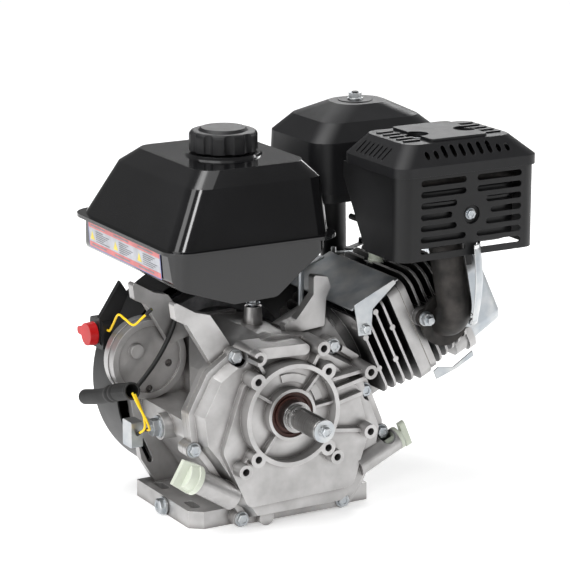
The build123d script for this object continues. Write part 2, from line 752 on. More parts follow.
TAPPET_BASE = CAM_ALONG + LOBE_R + 0.1
ROCKER_AT = HEAD_END + 20

with BuildPart() as tappets_and_pushrods:
    for x in (-12, 12):
        for start, end, radius in ((TAPPET_BASE, TAPPET_BASE + 4, 11), (TAPPET_BASE + 4, 102, 5), (102.5, ROCKER_AT - 4, 3)):
            with BuildSketch(on_cylinder(start)):
                with Locations((x, CAM_PERP)):
                    Circle(radius)
            extrude(amount=end - start)
finish(tappets_and_pushrods, "tappets_and_pushrods")

# ---------------------------------------------------------------- cylinder head
HEAD_X = (-44.0, 101.0)
PORT_AT = 214.0
PORT_PERP = -8.0
STUD_LINE = -34.0  # exhaust studs, turned from the cylinder axis
STUD_SPACING = 56.0
PORT_FACE_X = 110.0
VALVE_X = (-18.0, 18.0)
head_shift = CYL_X - (HEAD_X[0] + HEAD_X[1]) / 2
ROCKER_MID = -29.0  # middle of the rocker chamber across the cylinder axis
ROCKER_SIZE = (120.0, 104.0)


def beside_cylinder(x, distance, perp, facing=1):
    """Plane square to X at a point given along and across the cylinder axis."""
    y = CRANK_Y + distance * slant_cos - perp * slant_sin
    z = CRANK_Z + distance * slant_sin + perp * slant_cos
    return Plane((x, y, z), x_dir=(0, facing * slant_cos, facing * slant_sin), z_dir=(facing, 0, 0))


with BuildPart() as head_gasket:
    with BuildSketch(on_cylinder(HEAD_JOINT)):
        with Locations((head_shift, -3)):
            RectangleRounded(HEAD_X[1] - HEAD_X[0], 116, 12)
        Circle(BORE_R + 1, mode=Mode.SUBTRACT)
        with Locations((-12, CAM_PERP), (12, CAM_PERP)):
            Circle(8, mode=Mode.SUBTRACT)
        with Locations(*HEAD_BOLT_PLACES):
            Circle(4.2, mode=Mode.SUBTRACT)
    extrude(amount=1)
finish(head_gasket, "head_gasket")

with BuildPart() as cylinder_head:
    with BuildSketch(on_cylinder(HEAD_JOINT + 1)):
        with Locations((head_shift, -3)):
            RectangleRounded(HEAD_X[1] - HEAD_X[0], 120, 12)
        with Locations((0, CAM_PERP + 4)):
            RectangleRounded(52, 28, 8)
    extrude(amount=8)
    with BuildSketch(on_cylinder(HEAD_JOINT + 9)):
        with Locations((0, -4)):
            RectangleRounded(84, 92, 12)
        with Locations((0, CAM_PERP + 4)):
            RectangleRounded(52, 26, 8)
    extrude(amount=HEAD_END - HEAD_JOINT - 9)
    for index in range(5):
        with BuildSketch(on_cylinder(HEAD_JOINT + 16 + 11 * index)):
            with Locations((head_shift, -3)):
                RectangleRounded(HEAD_X[1] - HEAD_X[0] - 4 * index, 122 - 2 * index, 18)
        extrude(amount=FIN_T)
    with BuildSketch(on_cylinder(HEAD_END - 26)):
        with Locations((-4, ROCKER_MID)):
            RectangleRounded(ROCKER_SIZE[0], ROCKER_SIZE[1], 16)
    extrude(amount=26)
    with BuildSketch(on_cylinder(HEAD_END - 9)):
        with Locations((-4, ROCKER_MID)):
            RectangleRounded(ROCKER_SIZE[0] + 4, ROCKER_SIZE[1] + 4, 16)
    extrude(amount=9)
    # exhaust and intake port bosses
    with BuildSketch(beside_cylinder(40, PORT_AT, PORT_PERP)) as port_boss:
        Circle(22)
        with Locations(Location((0, 0), STUD_LINE)):
            SlotOverall(74, 22)
    extrude(amount=70)
    with BuildSketch(beside_cylinder(0, PORT_AT, 6, facing=-1)):
        Circle(20)
        SlotOverall(60, 20)
    extrude(amount=46)
    # rocker chamber, ports, valve guides and pushrod passages
    with BuildSketch(on_cylinder(HEAD_END - 20)):
        with Locations((0, ROCKER_MID)):
            RectangleRounded(82, ROCKER_SIZE[1] - 7, 12)
    extrude(amount=20, mode=Mode.SUBTRACT)
    with BuildSketch(beside_cylinder(30, PORT_AT, PORT_PERP)):
        Circle(14)
    extrude(amount=90, mode=Mode.SUBTRACT)
    with BuildSketch(beside_cylinder(PORT_FACE_X - 18, PORT_AT, PORT_PERP)):
        with PolarLocations(STUD_SPACING / 2, 2, start_angle=STUD_LINE):
            Circle(4)
    extrude(amount=20, mode=Mode.SUBTRACT)
    with BuildSketch(beside_cylinder(0, PORT_AT, 6, facing=-1)):
        Circle(13)
    extrude(amount=50, mode=Mode.SUBTRACT)
    with BuildSketch(on_cylinder(HEAD_JOINT)):
        Circle(40)
    extrude(amount=9, mode=Mode.SUBTRACT)
    with BuildSketch(on_cylinder(HEAD_JOINT + 5)):
        with Locations((VALVE_X[0], 4), (VALVE_X[1], 4)):
            Circle(3.5 + FIT)
    extrude(amount=80, mode=Mode.SUBTRACT)
    with BuildSketch(on_cylinder(HEAD_JOINT)):
        with Locations((-12, CAM_PERP), (12, CAM_PERP)):
            Circle(8)
    extrude(amount=80, mode=Mode.SUBTRACT)
    # head bolt holes and the room for their heads between the fins
    with BuildSketch(on_cylinder(HEAD_JOINT)):
        with Locations(*HEAD_BOLT_PLACES):
            Circle(4.2)
    extrude(amount=10, mode=Mode.SUBTRACT)
    with BuildSketch(on_cylinder(HEAD_JOINT + 9)):
        with Locations(*HEAD_BOLT_PLACES):
            Circle(11)
    extrude(amount=HEAD_END - HEAD_JOINT - 9 - 28, mode=Mode.SUBTRACT)
    # spark plug thread, reaching the combustion chamber at a slant
    plug_plane = Plane(on_cylinder(HEAD_JOINT + 24).origin + Vector(0, -slant_sin, slant_cos) * 44, x_dir=(1, 0, 0),
                       z_dir=Vector(0, -slant_sin * 0.94 + slant_cos * 0.34, slant_cos * 0.94 + slant_sin * 0.34))
    with BuildSketch(plug_plane.offset(-4)):
        Circle(12)
    extrude(amount=12)
    with BuildSketch(plug_plane.offset(-34)):
        Circle(6)
    extrude(amount=60, mode=Mode.SUBTRACT)
    with BuildSketch(plug_plane.offset(8)):
        Circle(15)
    extrude(amount=60, mode=Mode.SUBTRACT)
finish(cylinder_head, "cylinder_head")

with BuildPart() as rocker_cover:
    with BuildSketch(on_cylinder(HEAD_END)):
        with Locations((-4, ROCKER_MID)):
            RectangleRounded(ROCKER_SIZE[0], ROCKER_SIZE[1], 16)
    extrude(amount=2)
    with BuildSketch(on_cylinder(HEAD_END + 2)):
        with Locations((-4, ROCKER_MID)):
            RectangleRounded(ROCKER_SIZE[0] - 8, ROCKER_SIZE[1] - 2, 20)
    extrude(amount=ROCKER_END - HEAD_END - 2, taper=5)
    fillet(rocker_cover.faces().sort_by(Axis((0, 0, 0), (0, slant_cos, slant_sin)))[-1].edges(), 9)
    with BuildSketch(on_cylinder(HEAD_END)):
        with Locations((-4, ROCKER_MID)):
            RectangleRounded(ROCKER_SIZE[0] - 13, ROCKER_SIZE[1] - 7, 18)
    extrude(amount=ROCKER_END - HEAD_END - 4, taper=5, mode=Mode.SUBTRACT)
    with BuildSketch(on_cylinder(ROCKER_END - 6)):
        with Locations((-4, ROCKER_MID)):
            Circle(3.2)
    extrude(amount=10, mode=Mode.SUBTRACT)
finish(rocker_cover, "rocker_cover")

with BuildPart() as rocker_arms:
    for x, valve_x in ((-12, VALVE_X[0]), (12, VALVE_X[1])):
        with BuildSketch(on_cylinder(ROCKER_AT - 4)):
            with Locations((x, -34)):
                Circle(5)
        extrude(amount=-(ROCKER_AT - 4 - HEAD_END + 20))
        with BuildSketch(on_cylinder(ROCKER_AT - 3.5)):
            with BuildLine():
                Polyline((x - 7, CAM_PERP - 5), (x + 7, CAM_PERP - 5), (valve_x + 7, 11), (valve_x - 7, 11), close=True)
            make_face()
        extrude(amount=7)
finish(rocker_arms, "rocker_arms")

with BuildPart() as valves_and_springs:
    for x in VALVE_X:
        with BuildSketch(on_cylinder(HEAD_JOINT + 9)):
            with Locations((x, 4)):
                Circle(16)
        extrude(amount=-2.5)
        with BuildSketch(on_cylinder(HEAD_JOINT + 9)):
            with Locations((x, 4)):
                Circle(3.5)
        extrude(amount=ROCKER_AT - 4 - HEAD_JOINT - 9)
        with BuildSketch(on_cylinder(ROCKER_AT - 9)):
            with Locations((x, 4)):
                Circle(12)
                Circle(3.5, mode=Mode.SUBTRACT)
        extrude(amount=3)
        for turn in range(5):
            with BuildSketch(on_cylinder(HEAD_END - 19.5 + 6 * turn)):
                with Locations((x, 4)):
                    Circle(11)
                    Circle(8.5, mode=Mode.SUBTRACT)
            extrude(amount=2.5)
finish(valves_and_springs, "valves_and_springs")

with BuildPart() as spark_plug:
    for start, end, radius in ((-20, 8, 5.9), (8, 11, 10), (11, 19, 9), (19, 44, 5.5), (44, 52, 3)):
        with BuildSketch(plug_plane.offset(start)):
            Circle(radius)
        extrude(amount=end - start)
finish(spark_plug, "spark_plug")

with BuildPart() as plug_cap:
    with BuildSketch(plug_plane.offset(22)):
        Circle(10)
    extrude(amount=38)
    fillet(plug_cap.edges().sort_by(Axis((0, 0, 0), plug_plane.z_dir))[-1], 4)
    with BuildSketch(Plane(plug_plane.offset(50).origin, x_dir=(0, 1, 0), z_dir=(-1, 0, 0))):
        Circle(6.5)
    extrude(amount=26)
    with BuildSketch(Plane(plug_plane.offset(50).origin + Vector(-26, 0, 0), x_dir=(0, 1, 0), z_dir=(-1, 0, 0))):
        Circle(3.5)
    extrude(amount=26)
    with BuildSketch(plug_plane.offset(10)):
        Circle(5.5)
    extrude(amount=35, mode=Mode.SUBTRACT)
    with BuildSketch(plug_plane.offset(44)):
        Circle(3)
    extrude(amount=8.5, mode=Mode.SUBTRACT)
finish(plug_cap, "plug_cap")

# ---------------------------------------------------------------- exhaust
PIPE_R = 19.5
PIPE_X = 139.0
PIPE_TOP_X = 128.0
FLANGE_T = 5.0
STUD_OUT = 14.0
port = beside_cylinder(PORT_FACE_X, PORT_AT, PORT_PERP)
port_y = port.origin.Y
port_z = port.origin.Z
pipe_points = [
    (PORT_FACE_X, port_y, port_z), (PIPE_X, port_y, port_z), (PIPE_TOP_X, port_y - 12, GUARD_Z[0] + 16),
]

with BuildPart() as exhaust_pipe:
    with BuildSketch(port):
        Circle(31)
        with PolarLocations(STUD_SPACING / 2, 2, start_angle=STUD_LINE):
            Circle(10)
    extrude(amount=FLANGE_T)
    with BuildSketch(port):
        with PolarLocations(STUD_SPACING / 2, 2, start_angle=STUD_LINE):
            Circle(4.3)
    extrude(amount=FLANGE_T, mode=Mode.SUBTRACT)
    add(tube(pipe_points, 25, PIPE_R))
    add(tube(pipe_points, 25, PIPE_R - 1.8), mode=Mode.SUBTRACT)
finish(exhaust_pipe, "exhaust_pipe")

with BuildPart() as exhaust_nuts:
    for start, end, radius in ((-18, FLANGE_T + STUD_OUT, 4), (FLANGE_T, FLANGE_T + 1.5, 8.4)):
        with BuildSketch(port.offset(start)):
            with PolarLocations(STUD_SPACING / 2, 2, start_angle=STUD_LINE):
                Circle(radius)
        extrude(amount=end - start)
    with BuildSketch(port.offset(FLANGE_T + 1.5)):
        with PolarLocations(STUD_SPACING / 2, 2, start_angle=STUD_LINE):
            RegularPolygon(6.5, 6, major_radius=False)
    extrude(amount=7)
finish(exhaust_nuts, "exhaust_nuts")

with BuildPart() as muffler_body:
    add(loft_box([(308, 54, 144, 116, 260, 30), (314, 48, 150, 110, 266, 36), (372, 48, 150, 110, 266, 36),
                  (378, 54, 144, 116, 260, 30)]))
    with BuildSketch(facing_up(358)):
        with Locations((99, 188)):
            RectangleRounded(108, 162, 40)
    extrude(amount=3)
    add(loft_box([(309.5, 56, 142, 118, 258, 28), (315, 50, 148, 112, 264, 34), (371, 50, 148, 112, 264, 34),
                  (376.5, 56, 142, 118, 258, 28)]), mode=Mode.SUBTRACT)
    add(tube(pipe_points, 25, PIPE_R + 0.3), mode=Mode.SUBTRACT)
    # tail pipe towards the back
    with BuildSketch(Plane.XZ.offset(-258)):
        with Locations((70, 345)):
            Circle(12)
            Circle(10, mode=Mode.SUBTRACT)
    extrude(amount=-14)
    with BuildSketch(Plane.XZ.offset(-255)):
        with Locations((70, 345)):
            Circle(10)
    extrude(amount=-20, mode=Mode.SUBTRACT)
    # stay plates down to the head
    for x, y in ((118, 206), (60, 150)):
        with BuildSketch(facing_up(276)):
            with Locations((x, y)):
                Rectangle(3, 22)
        extrude(amount=34)
finish(muffler_body, "muffler_body")

GUARD_R = 16.0
SLOT_ROWS = 7
SLOT_PITCH = 12.6
guard_mid_y = (GUARD_Y[0] + GUARD_Y[1]) / 2

with BuildPart() as muffler_guard:
    outer = rounded_box((GUARD_X[0] - 40, GUARD_Y[0], GUARD_Z[0]), (GUARD_X[1], GUARD_Y[1], GUARD_Z[1]), GUARD_R)
    inner = rounded_box((GUARD_X[0] - 42, GUARD_Y[0] + SHEET, GUARD_Z[0] - 1), (GUARD_X[1] - SHEET, GUARD_Y[1] - SHEET, GUARD_Z[1] + 1), GUARD_R - SHEET)
    add(outer)
    add(inner, mode=Mode.SUBTRACT)
    with BuildSketch(facing_up(GUARD_Z[0] - 1)):
        with Locations((GUARD_X[0] - 30, guard_mid_y)):
            Rectangle(60, 200)
    extrude(amount=100, mode=Mode.SUBTRACT)
    # lower front corner cut away on the side that faces the tank
    with BuildSketch(Plane.XZ.offset(-GUARD_Y[0] + 5)):
        with BuildLine():
            Polyline((30, 290), (90, 290), (34, 378), (30, 378), close=True)
        make_face()
    extrude(amount=-20, mode=Mode.SUBTRACT)
    # rows of slots either side of the recessed bolt
    for row in range(SLOT_ROWS):
        z = GUARD_Z[0] + 11 + SLOT_PITCH * row
        from_middle = abs(row - (SLOT_ROWS - 1) / 2)
        inner_end = 7 + (12 if from_middle < 2 else 0) + (6 if from_middle < 1 else 0)
        for side in (-1, 1):
            length = 66 - inner_end
            with BuildSketch(Plane.YZ.offset(GUARD_X[1] - 10)):
                with Locations((guard_mid_y + 3 + side * (inner_end + length / 2), z)):
                    SlotOverall(length, 7)
            extrude(amount=20, mode=Mode.SUBTRACT)
    with BuildSketch(Plane.YZ.offset(GUARD_X[1] - 5)):
        with Locations((guard_mid_y + 3, GUARD_Z[0] + 46)):
            Circle(13)
    extrude(amount=5)
    with BuildSketch(Plane.YZ.offset(GUARD_X[1] - 3.4)):
        with Locations((guard_mid_y + 3, GUARD_Z[0] + 46)):
            Circle(11)
    extrude(amount=4, mode=Mode.SUBTRACT)
    with BuildSketch(Plane.YZ.offset(GUARD_X[1] - 6)):
        with Locations((guard_mid_y + 3, GUARD_Z[0] + 46)):
            Circle(3.2)
    extrude(amount=6, mode=Mode.SUBTRACT)
    # stand-off to the muffler body
    with BuildSketch(Plane.YZ.offset(150.2)):
        with Locations((guard_mid_y + 3, GUARD_Z[0] + 46)):
            Circle(8)
            Circle(3.2, mode=Mode.SUBTRACT)
    extrude(amount=GUARD_X[1] - 5 - 150.2)
finish(muffler_guard, "muffler_guard")

GUARD_TOP_Z = 424.0
with BuildPart() as guard_top_cover:
    for inset, mode in ((0.0, Mode.ADD), (SHEET, Mode.SUBTRACT)):
        low = GUARD_Z[1] + 0.2 if mode == Mode.ADD else GUARD_Z[1] - 5
        grow = 2.2 - inset
        add(loft_box([
            (low, GUARD_X[0] - 2 + inset, GUARD_X[1] + grow, GUARD_Y[0] - grow, GUARD_Y[1] + grow, GUARD_R),
            (403 - inset / 2, GUARD_X[0] - 2 + inset, GUARD_X[1] + grow, GUARD_Y[0] - grow, GUARD_Y[1] + grow, GUARD_R),
            (GUARD_TOP_Z - inset, GUARD_X[0] + 6, GUARD_X[1] - 20, GUARD_Y[0] + 22, GUARD_Y[1] - 20, GUARD_R),
        ]), mode=mode)
    # raised centre panel with two bolt wells
    with BuildSketch(facing_up(GUARD_TOP_Z - SHEET)):
        with Locations((90, guard_mid_y + 2)):
            RectangleRounded(84, 74, 5)
    extrude(amount=5)
    with BuildSketch(facing_up(GUARD_TOP_Z - SHEET)):
        with Locations((90, guard_mid_y + 2)):
            RectangleRounded(80, 70, 4)
    extrude(amount=5 - SHEET, mode=Mode.SUBTRACT)
    for y in (guard_mid_y - 32, guard_mid_y + 32):
        with BuildSketch(facing_up(GUARD_TOP_Z - 8)):
            with Locations((96, y)):
                Circle(15)
        extrude(amount=9)
        with BuildSketch(facing_up(GUARD_TOP_Z - 8 + SHEET)):
            with Locations((96, y)):
                Circle(13.4)
        extrude(amount=20, mode=Mode.SUBTRACT)
        with BuildSketch(facing_up(GUARD_TOP_Z - 9)):
            with Locations((96, y)):
                Circle(3.2)
        extrude(amount=6, mode=Mode.SUBTRACT)
    # slots through the bevel above the output side and the bevel towards the tank
    for index in range(10):
        height = 12 if 1 < index < 8 else 8
        with BuildSketch(Plane.YZ.offset(GUARD_X[1] - 24)):
            with Locations((guard_mid_y - 50 + 11.6 * index, 409 + height / 2)):
                SlotOverall(height, 6, rotation=90)
        extrude(amount=30, mode=Mode.SUBTRACT)
    for index in range(7):
        with BuildSketch(Plane.XZ.offset(-GUARD_Y[0] - 26)):
            with Locations((60 + 9 * index, 412)):
                SlotOverall(12, 3, rotation=90)
        extrude(amount=30, mode=Mode.SUBTRACT)
    # ribbed panels either side of the centre
    for side in (-1, 1):
        for index in range(5):
            with BuildSketch(facing_up(GUARD_TOP_Z - 0.4)):
                with Locations((60 + 14 * index, guard_mid_y + 2 + side * 53)):
                    SlotOverall(22, 5, rotation=90)
            extrude(amount=2)
finish(guard_top_cover, "guard_top_cover")

# ---------------------------------------------------------------- air intake
INTAKE_X = HEAD_X[0] - 2
intake = beside_cylinder(INTAKE_X, PORT_AT, 6, facing=-1)

with BuildPart() as insulator_block:
    with BuildSketch(intake):
        SlotOverall(60, 38)
        Circle(12, mode=Mode.SUBTRACT)
    extrude(amount=9)
finish(insulator_block, "insulator_block")

CARB_LENGTH = 46.0
carb_mid = intake.offset(9 + CARB_LENGTH / 2).origin
with BuildPart() as carburettor:
    with BuildSketch(intake.offset(9)):
        SlotOverall(58, 34)
        Circle(11, mode=Mode.SUBTRACT)
    extrude(amount=6)
    with BuildSketch(intake.offset(15)):
        Circle(18)
        Circle(11, mode=Mode.SUBTRACT)
    extrude(amount=CARB_LENGTH - 12)
    with BuildSketch(intake.offset(9 + CARB_LENGTH - 6)):
        SlotOverall(58, 36)
        Circle(13, mode=Mode.SUBTRACT)
    extrude(amount=6)
    with BuildSketch(facing_up(carb_mid.Z - 46)):
        with Locations((carb_mid.X, carb_mid.Y)):
            Circle(22)
            Circle(18, mode=Mode.SUBTRACT)
    extrude(amount=26)
    with BuildSketch(facing_up(carb_mid.Z - 48)):
        with Locations((carb_mid.X, carb_mid.Y)):
            Circle(22)
    extrude(amount=3)
    with BuildSketch(facing_up(carb_mid.Z - 21)):
        with Locations((carb_mid.X, carb_mid.Y)):
            Circle(22)
    extrude(amount=5)
    with BuildSketch(facing_up(carb_mid.Z - 54)):
        with Locations((carb_mid.X, carb_mid.Y)):
            RegularPolygon(6, 6, major_radius=False)
    extrude(amount=8)
    with BuildSketch(facing_up(carb_mid.Z + 14)):
        with Locations((carb_mid.X - 10, carb_mid.Y), (carb_mid.X + 10, carb_mid.Y)):
            Circle(6)
    extrude(amount=12)
finish(carburettor, "carburettor")

for name, x, turn in (("throttle_lever", carb_mid.X + 10, 250), ("choke_lever", carb_mid.X - 10, 120)):
    with BuildPart() as lever:
        with BuildSketch(facing_up(carb_mid.Z + 26 + GAP)):
            with Locations((x, carb_mid.Y)):
                Circle(6)
            with Locations(Location((x, carb_mid.Y, 0), turn)):
                with Locations((16, 0)):
                    SlotCenterToCenter(30, 7)
        extrude(amount=2)
        with BuildSketch(facing_up(carb_mid.Z + 28 + GAP)):
            with Locations((x + 29 * cos(radians(turn)), carb_mid.Y + 29 * sin(radians(turn)))):
                Circle(3)
        extrude(amount=6)
    finish(lever, name)

duct_x = INTAKE_X - 9 - CARB_LENGTH
with BuildPart() as air_cleaner_base:
    add(rounded_box((CLEANER_X[0] + 6, CLEANER_Y[0] + 6, CLEANER_Z - 12), (CLEANER_X[1] - 6, CLEANER_Y[1] - 6, CLEANER_Z - 1), 22))
    duct_points = [(duct_x, intake.origin.Y, intake.origin.Z), (duct_x - 24, intake.origin.Y, intake.origin.Z),
                   (duct_x - 24, intake.origin.Y - 2, CLEANER_Z - 11)]
    add(tube(duct_points, 21, 16))
    with BuildSketch(intake.offset(9 + CARB_LENGTH)):
        SlotOverall(58, 34)
    extrude(amount=5)
    add(tube(duct_points[:2] + [(duct_x - 24, intake.origin.Y - 2, CLEANER_Z + 2)], 21, 13), mode=Mode.SUBTRACT)
    with BuildSketch(facing_up(CLEANER_Z - 1)):
        with Locations((-61, 171)):
            Circle(4)
    extrude(amount=104)
finish(air_cleaner_base, "air_cleaner_base")

with BuildPart() as filter_element:
    add(rounded_box((CLEANER_X[0] + 20, CLEANER_Y[0] + 20, CLEANER_Z - 1), (CLEANER_X[1] - 20, CLEANER_Y[1] - 20, CLEANER_Z + 54), 30))
    add(rounded_box((CLEANER_X[0] + 36, CLEANER_Y[0] + 36, CLEANER_Z - 2), (CLEANER_X[1] - 36, CLEANER_Y[1] - 36, CLEANER_Z + 50), 18), mode=Mode.SUBTRACT)
    with BuildSketch(facing_up(CLEANER_Z + 40)):
        with Locations((-61, 171)):
            Circle(5)
    extrude(amount=20, mode=Mode.SUBTRACT)
finish(filter_element, "filter_element")

with BuildPart() as air_cleaner_cover:
    for inset, mode in ((0.0, Mode.ADD), (2.5, Mode.SUBTRACT)):
        low_x, high_x = CLEANER_X[0] + inset, CLEANER_X[1] - inset
        low_y, high_y = CLEANER_Y[0] + inset, CLEANER_Y[1] - inset
        add(loft_box([
            (CLEANER_Z - 1 - inset, low_x, high_x, low_y, high_y, 24),
            (404 - inset, low_x + 2, high_x - 2, low_y + 2, high_y - 2, 24),
            (424 - inset, low_x + 16, high_x - 14, low_y + 22, high_y - 26, 24),
            (439 - inset, low_x + 40, high_x - 36, low_y + 56, high_y - 56, 24),
        ]), mode=mode)
    with BuildSketch(facing_up(434)):
        with Locations((-61, 171)):
            Circle(22)
    extrude(amount=6, taper=20)
    with BuildSketch(facing_up(430)):
        with Locations((-61, 171)):
            Circle(4.3)
    extrude(amount=14, mode=Mode.SUBTRACT)
finish(air_cleaner_cover, "air_cleaner_cover")

with BuildPart() as air_cleaner_nut:
    with BuildSketch(facing_up(440)):
        with Locations((-61, 171)):
            Circle(9)
            Circle(4, mode=Mode.SUBTRACT)
    extrude(amount=1.6)
    with BuildSketch(facing_up(441.6)):
        with Locations((-61, 171)):
            RegularPolygon(6.5, 6, major_radius=False)
            Circle(4, mode=Mode.SUBTRACT)
    extrude(amount=6)
finish(air_cleaner_nut, "air_cleaner_nut")

# ---------------------------------------------------------------- fuel tank
TANK_X = (-172.0, 74.0)
TANK_Y = (-133.0, 65.0)
NECK_TOP_Z = 412.0
VALVE_PLACE = (-146.0, -40.0)
TANK_T = 1.6

with BuildPart() as fuel_tank_upper:
    for inset, mode in ((0.0, Mode.ADD), (TANK_T, Mode.SUBTRACT)):
        low = TANK_SEAM_Z if mode == Mode.ADD else TANK_SEAM_Z - 1
        add(loft_box([
            (low, TANK_X[0] + inset, TANK_X[1] - inset, TANK_Y[0] + inset, TANK_Y[1] - inset, 22),
            (384 - inset / 2, TANK_X[0] + 34 + inset, TANK_X[1] - 9 - inset, TANK_Y[0] + 28 + inset, TANK_Y[1] - 5 - inset, 22),
            (400 - inset, TANK_X[0] + 52 + inset, TANK_X[1] - 26 - inset, TANK_Y[0] + 46 + inset, TANK_Y[1] - 18 - inset, 22),
        ]), mode=mode)
    # seam lip
    with BuildSketch(facing_up(TANK_SEAM_Z)):
        with Locations(((TANK_X[0] + TANK_X[1]) / 2, (TANK_Y[0] + TANK_Y[1]) / 2)):
            RectangleRounded(TANK_X[1] - TANK_X[0] + 16, TANK_Y[1] - TANK_Y[0] + 16, 28)
            RectangleRounded(TANK_X[1] - TANK_X[0] - 2 * TANK_T, TANK_Y[1] - TANK_Y[0] - 2 * TANK_T, 20, mode=Mode.SUBTRACT)
    extrude(amount=2)
    # filler neck on a low round step
    with BuildSketch(facing_up(396)):
        with Locations((CAP_X, CAP_Y)):
            Circle(46)
    extrude(amount=7, taper=30)
    with BuildSketch(facing_up(400)):
        with Locations((CAP_X, CAP_Y)):
            Circle(27)
    extrude(amount=NECK_TOP_Z - 400)
    with BuildSketch(facing_up(380)):
        with Locations((CAP_X, CAP_Y)):
            Circle(24)
    extrude(amount=50, mode=Mode.SUBTRACT)
finish(fuel_tank_upper, "fuel_tank_upper")

PAN_SIDE = [(-133, 316.4), (-130, 278), (-60, 254), (-6, 256), (24, 280), (46, 296), (65, 316.4)]

with BuildPart() as fuel_tank_lower:
    for inset, mode in ((0.0, Mode.ADD), (TANK_T, Mode.SUBTRACT)):
        with BuildPart(mode=Mode.PRIVATE) as pan:
            with BuildSketch(Plane.YZ.offset(TANK_X[0] + 4 + inset)) as side:
                with BuildLine():
                    Polyline(*PAN_SIDE, close=True)
                make_face()
                if inset:
                    offset(amount=-inset)
            extrude(amount=TANK_X[1] - TANK_X[0] - 8 - 2 * inset)
            fillet(pan.edges().filter_by(Axis.X).sort_by(Axis.Z)[:4], 14 - inset)
            with BuildSketch(facing_up(240)):
                with Locations(((TANK_X[0] + TANK_X[1]) / 2, (TANK_Y[0] + TANK_Y[1]) / 2)):
                    RectangleRounded(TANK_X[1] - TANK_X[0] - 8 - 2 * inset, TANK_Y[1] - TANK_Y[0] - 2 * inset, 20 - inset)
            extrude(amount=90, mode=Mode.INTERSECT)
        add(pan.part, mode=mode)
    with BuildSketch(facing_up(TANK_SEAM_Z - 4)):
        with Locations(((TANK_X[0] + TANK_X[1]) / 2, (TANK_Y[0] + TANK_Y[1]) / 2)):
            RectangleRounded(TANK_X[1] - TANK_X[0] - 12, TANK_Y[1] - TANK_Y[0] - 8, 18)
    extrude(amount=4, mode=Mode.SUBTRACT)
    with BuildSketch(facing_up(TANK_SEAM_Z - 2)):
        with Locations(((TANK_X[0] + TANK_X[1]) / 2, (TANK_Y[0] + TANK_Y[1]) / 2)):
            RectangleRounded(TANK_X[1] - TANK_X[0] + 16, TANK_Y[1] - TANK_Y[0] + 16, 28)
            RectangleRounded(TANK_X[1] - TANK_X[0] - 11, TANK_Y[1] - TANK_Y[0] - 4, 18, mode=Mode.SUBTRACT)
    extrude(amount=2)
    # outlet for the fuel valve
    with BuildSketch(facing_up(249)):
        with Locations(VALVE_PLACE):
            Circle(9)
    extrude(amount=8)
    with BuildSketch(facing_up(246)):
        with Locations(VALVE_PLACE):
            Circle(4)
    extrude(amount=20, mode=Mode.SUBTRACT)
finish(fuel_tank_lower, "fuel_tank_lower")

with BuildPart() as fuel_cap:
    with BuildSketch(facing_up(405)):
        with Locations((CAP_X, CAP_Y)):
            Circle(38.5)
    extrude(amount=22)
    fillet(fuel_cap.edges().group_by(Axis.Z)[-1], 5)
    with BuildSketch(facing_up(400)):
        with Locations((CAP_X, CAP_Y)):
            with PolarLocations(43.5, 10, start_angle=18):
                Circle(8)
    extrude(amount=40, mode=Mode.SUBTRACT)
    with BuildSketch(facing_up(426)):
        with Locations((CAP_X, CAP_Y)):
            Circle(29)
    extrude(amount=4, taper=45)
    with BuildSketch(facing_up(405)):
        with Locations((CAP_X, CAP_Y)):
            Circle(30)
    extrude(amount=NECK_TOP_Z + 2 - 405, mode=Mode.SUBTRACT)
finish(fuel_cap, "fuel_cap")

valve_x, valve_y = VALVE_PLACE
with BuildPart() as fuel_valve:
    with BuildSketch(facing_up(238)):
        with Locations(VALVE_PLACE):
            RectangleRounded(20, 22, 4)
    extrude(amount=11)
    with BuildSketch(Plane((valve_x - 10, valve_y, 243), x_dir=(0, 1, 0), z_dir=(-1, 0, 0))):
        Circle(5)
    extrude(amount=4)
    with BuildSketch(Plane((valve_x, valve_y + 11, 243), x_dir=(1, 0, 0), z_dir=(0, 1, 0))):
        Circle(3.4)
    extrude(amount=12)
finish(fuel_valve, "fuel_valve")

with BuildPart() as fuel_valve_lever:
    with BuildSketch(Plane((valve_x - 14 - GAP, valve_y, 243), x_dir=(0, 1, 0), z_dir=(-1, 0, 0))):
        Circle(6.5)
        with Locations((0, 9)):
            SlotCenterToCenter(16, 6, rotation=90)
    extrude(amount=3.5)
finish(fuel_valve_lever, "fuel_valve_lever")

hose_points = [
    (valve_x, valve_y + 23.3, 243), (valve_x, 25, 241), (valve_x - 1, 75, 238), (valve_x + 4, 122, 232),
    (valve_x + 18, 158, 222), (valve_x + 36, 176, 206),
]
with BuildPart() as fuel_hose:
    add(lead(hose_points, 4.5))
finish(fuel_hose, "fuel_hose")

# ---------------------------------------------------------------- flywheel, fan and starter
FLYWHEEL_X = -72.0

with BuildPart() as flywheel:
    with BuildSketch(on_crank(FLYWHEEL_X)):
        Circle(98)
        Circle(14, mode=Mode.SUBTRACT)
    extrude(amount=-24)
    with BuildSketch(on_crank(FLYWHEEL_X)):
        Circle(80)
        Circle(40, mode=Mode.SUBTRACT)
    extrude(amount=-12, mode=Mode.SUBTRACT)
    with BuildSketch(on_crank(FLYWHEEL_X)):
        Circle(JOURNAL_R)
    extrude(amount=-8, mode=Mode.SUBTRACT)
    with BuildSketch(on_crank(FLYWHEEL_X)):
        Circle(24)
        Circle(11, mode=Mode.SUBTRACT)
    extrude(amount=-32)
    with BuildSketch(on_crank(FLYWHEEL_X)):
        Circle(JOURNAL_R)
    extrude(amount=-8, mode=Mode.SUBTRACT)
finish(flywheel, "flywheel")

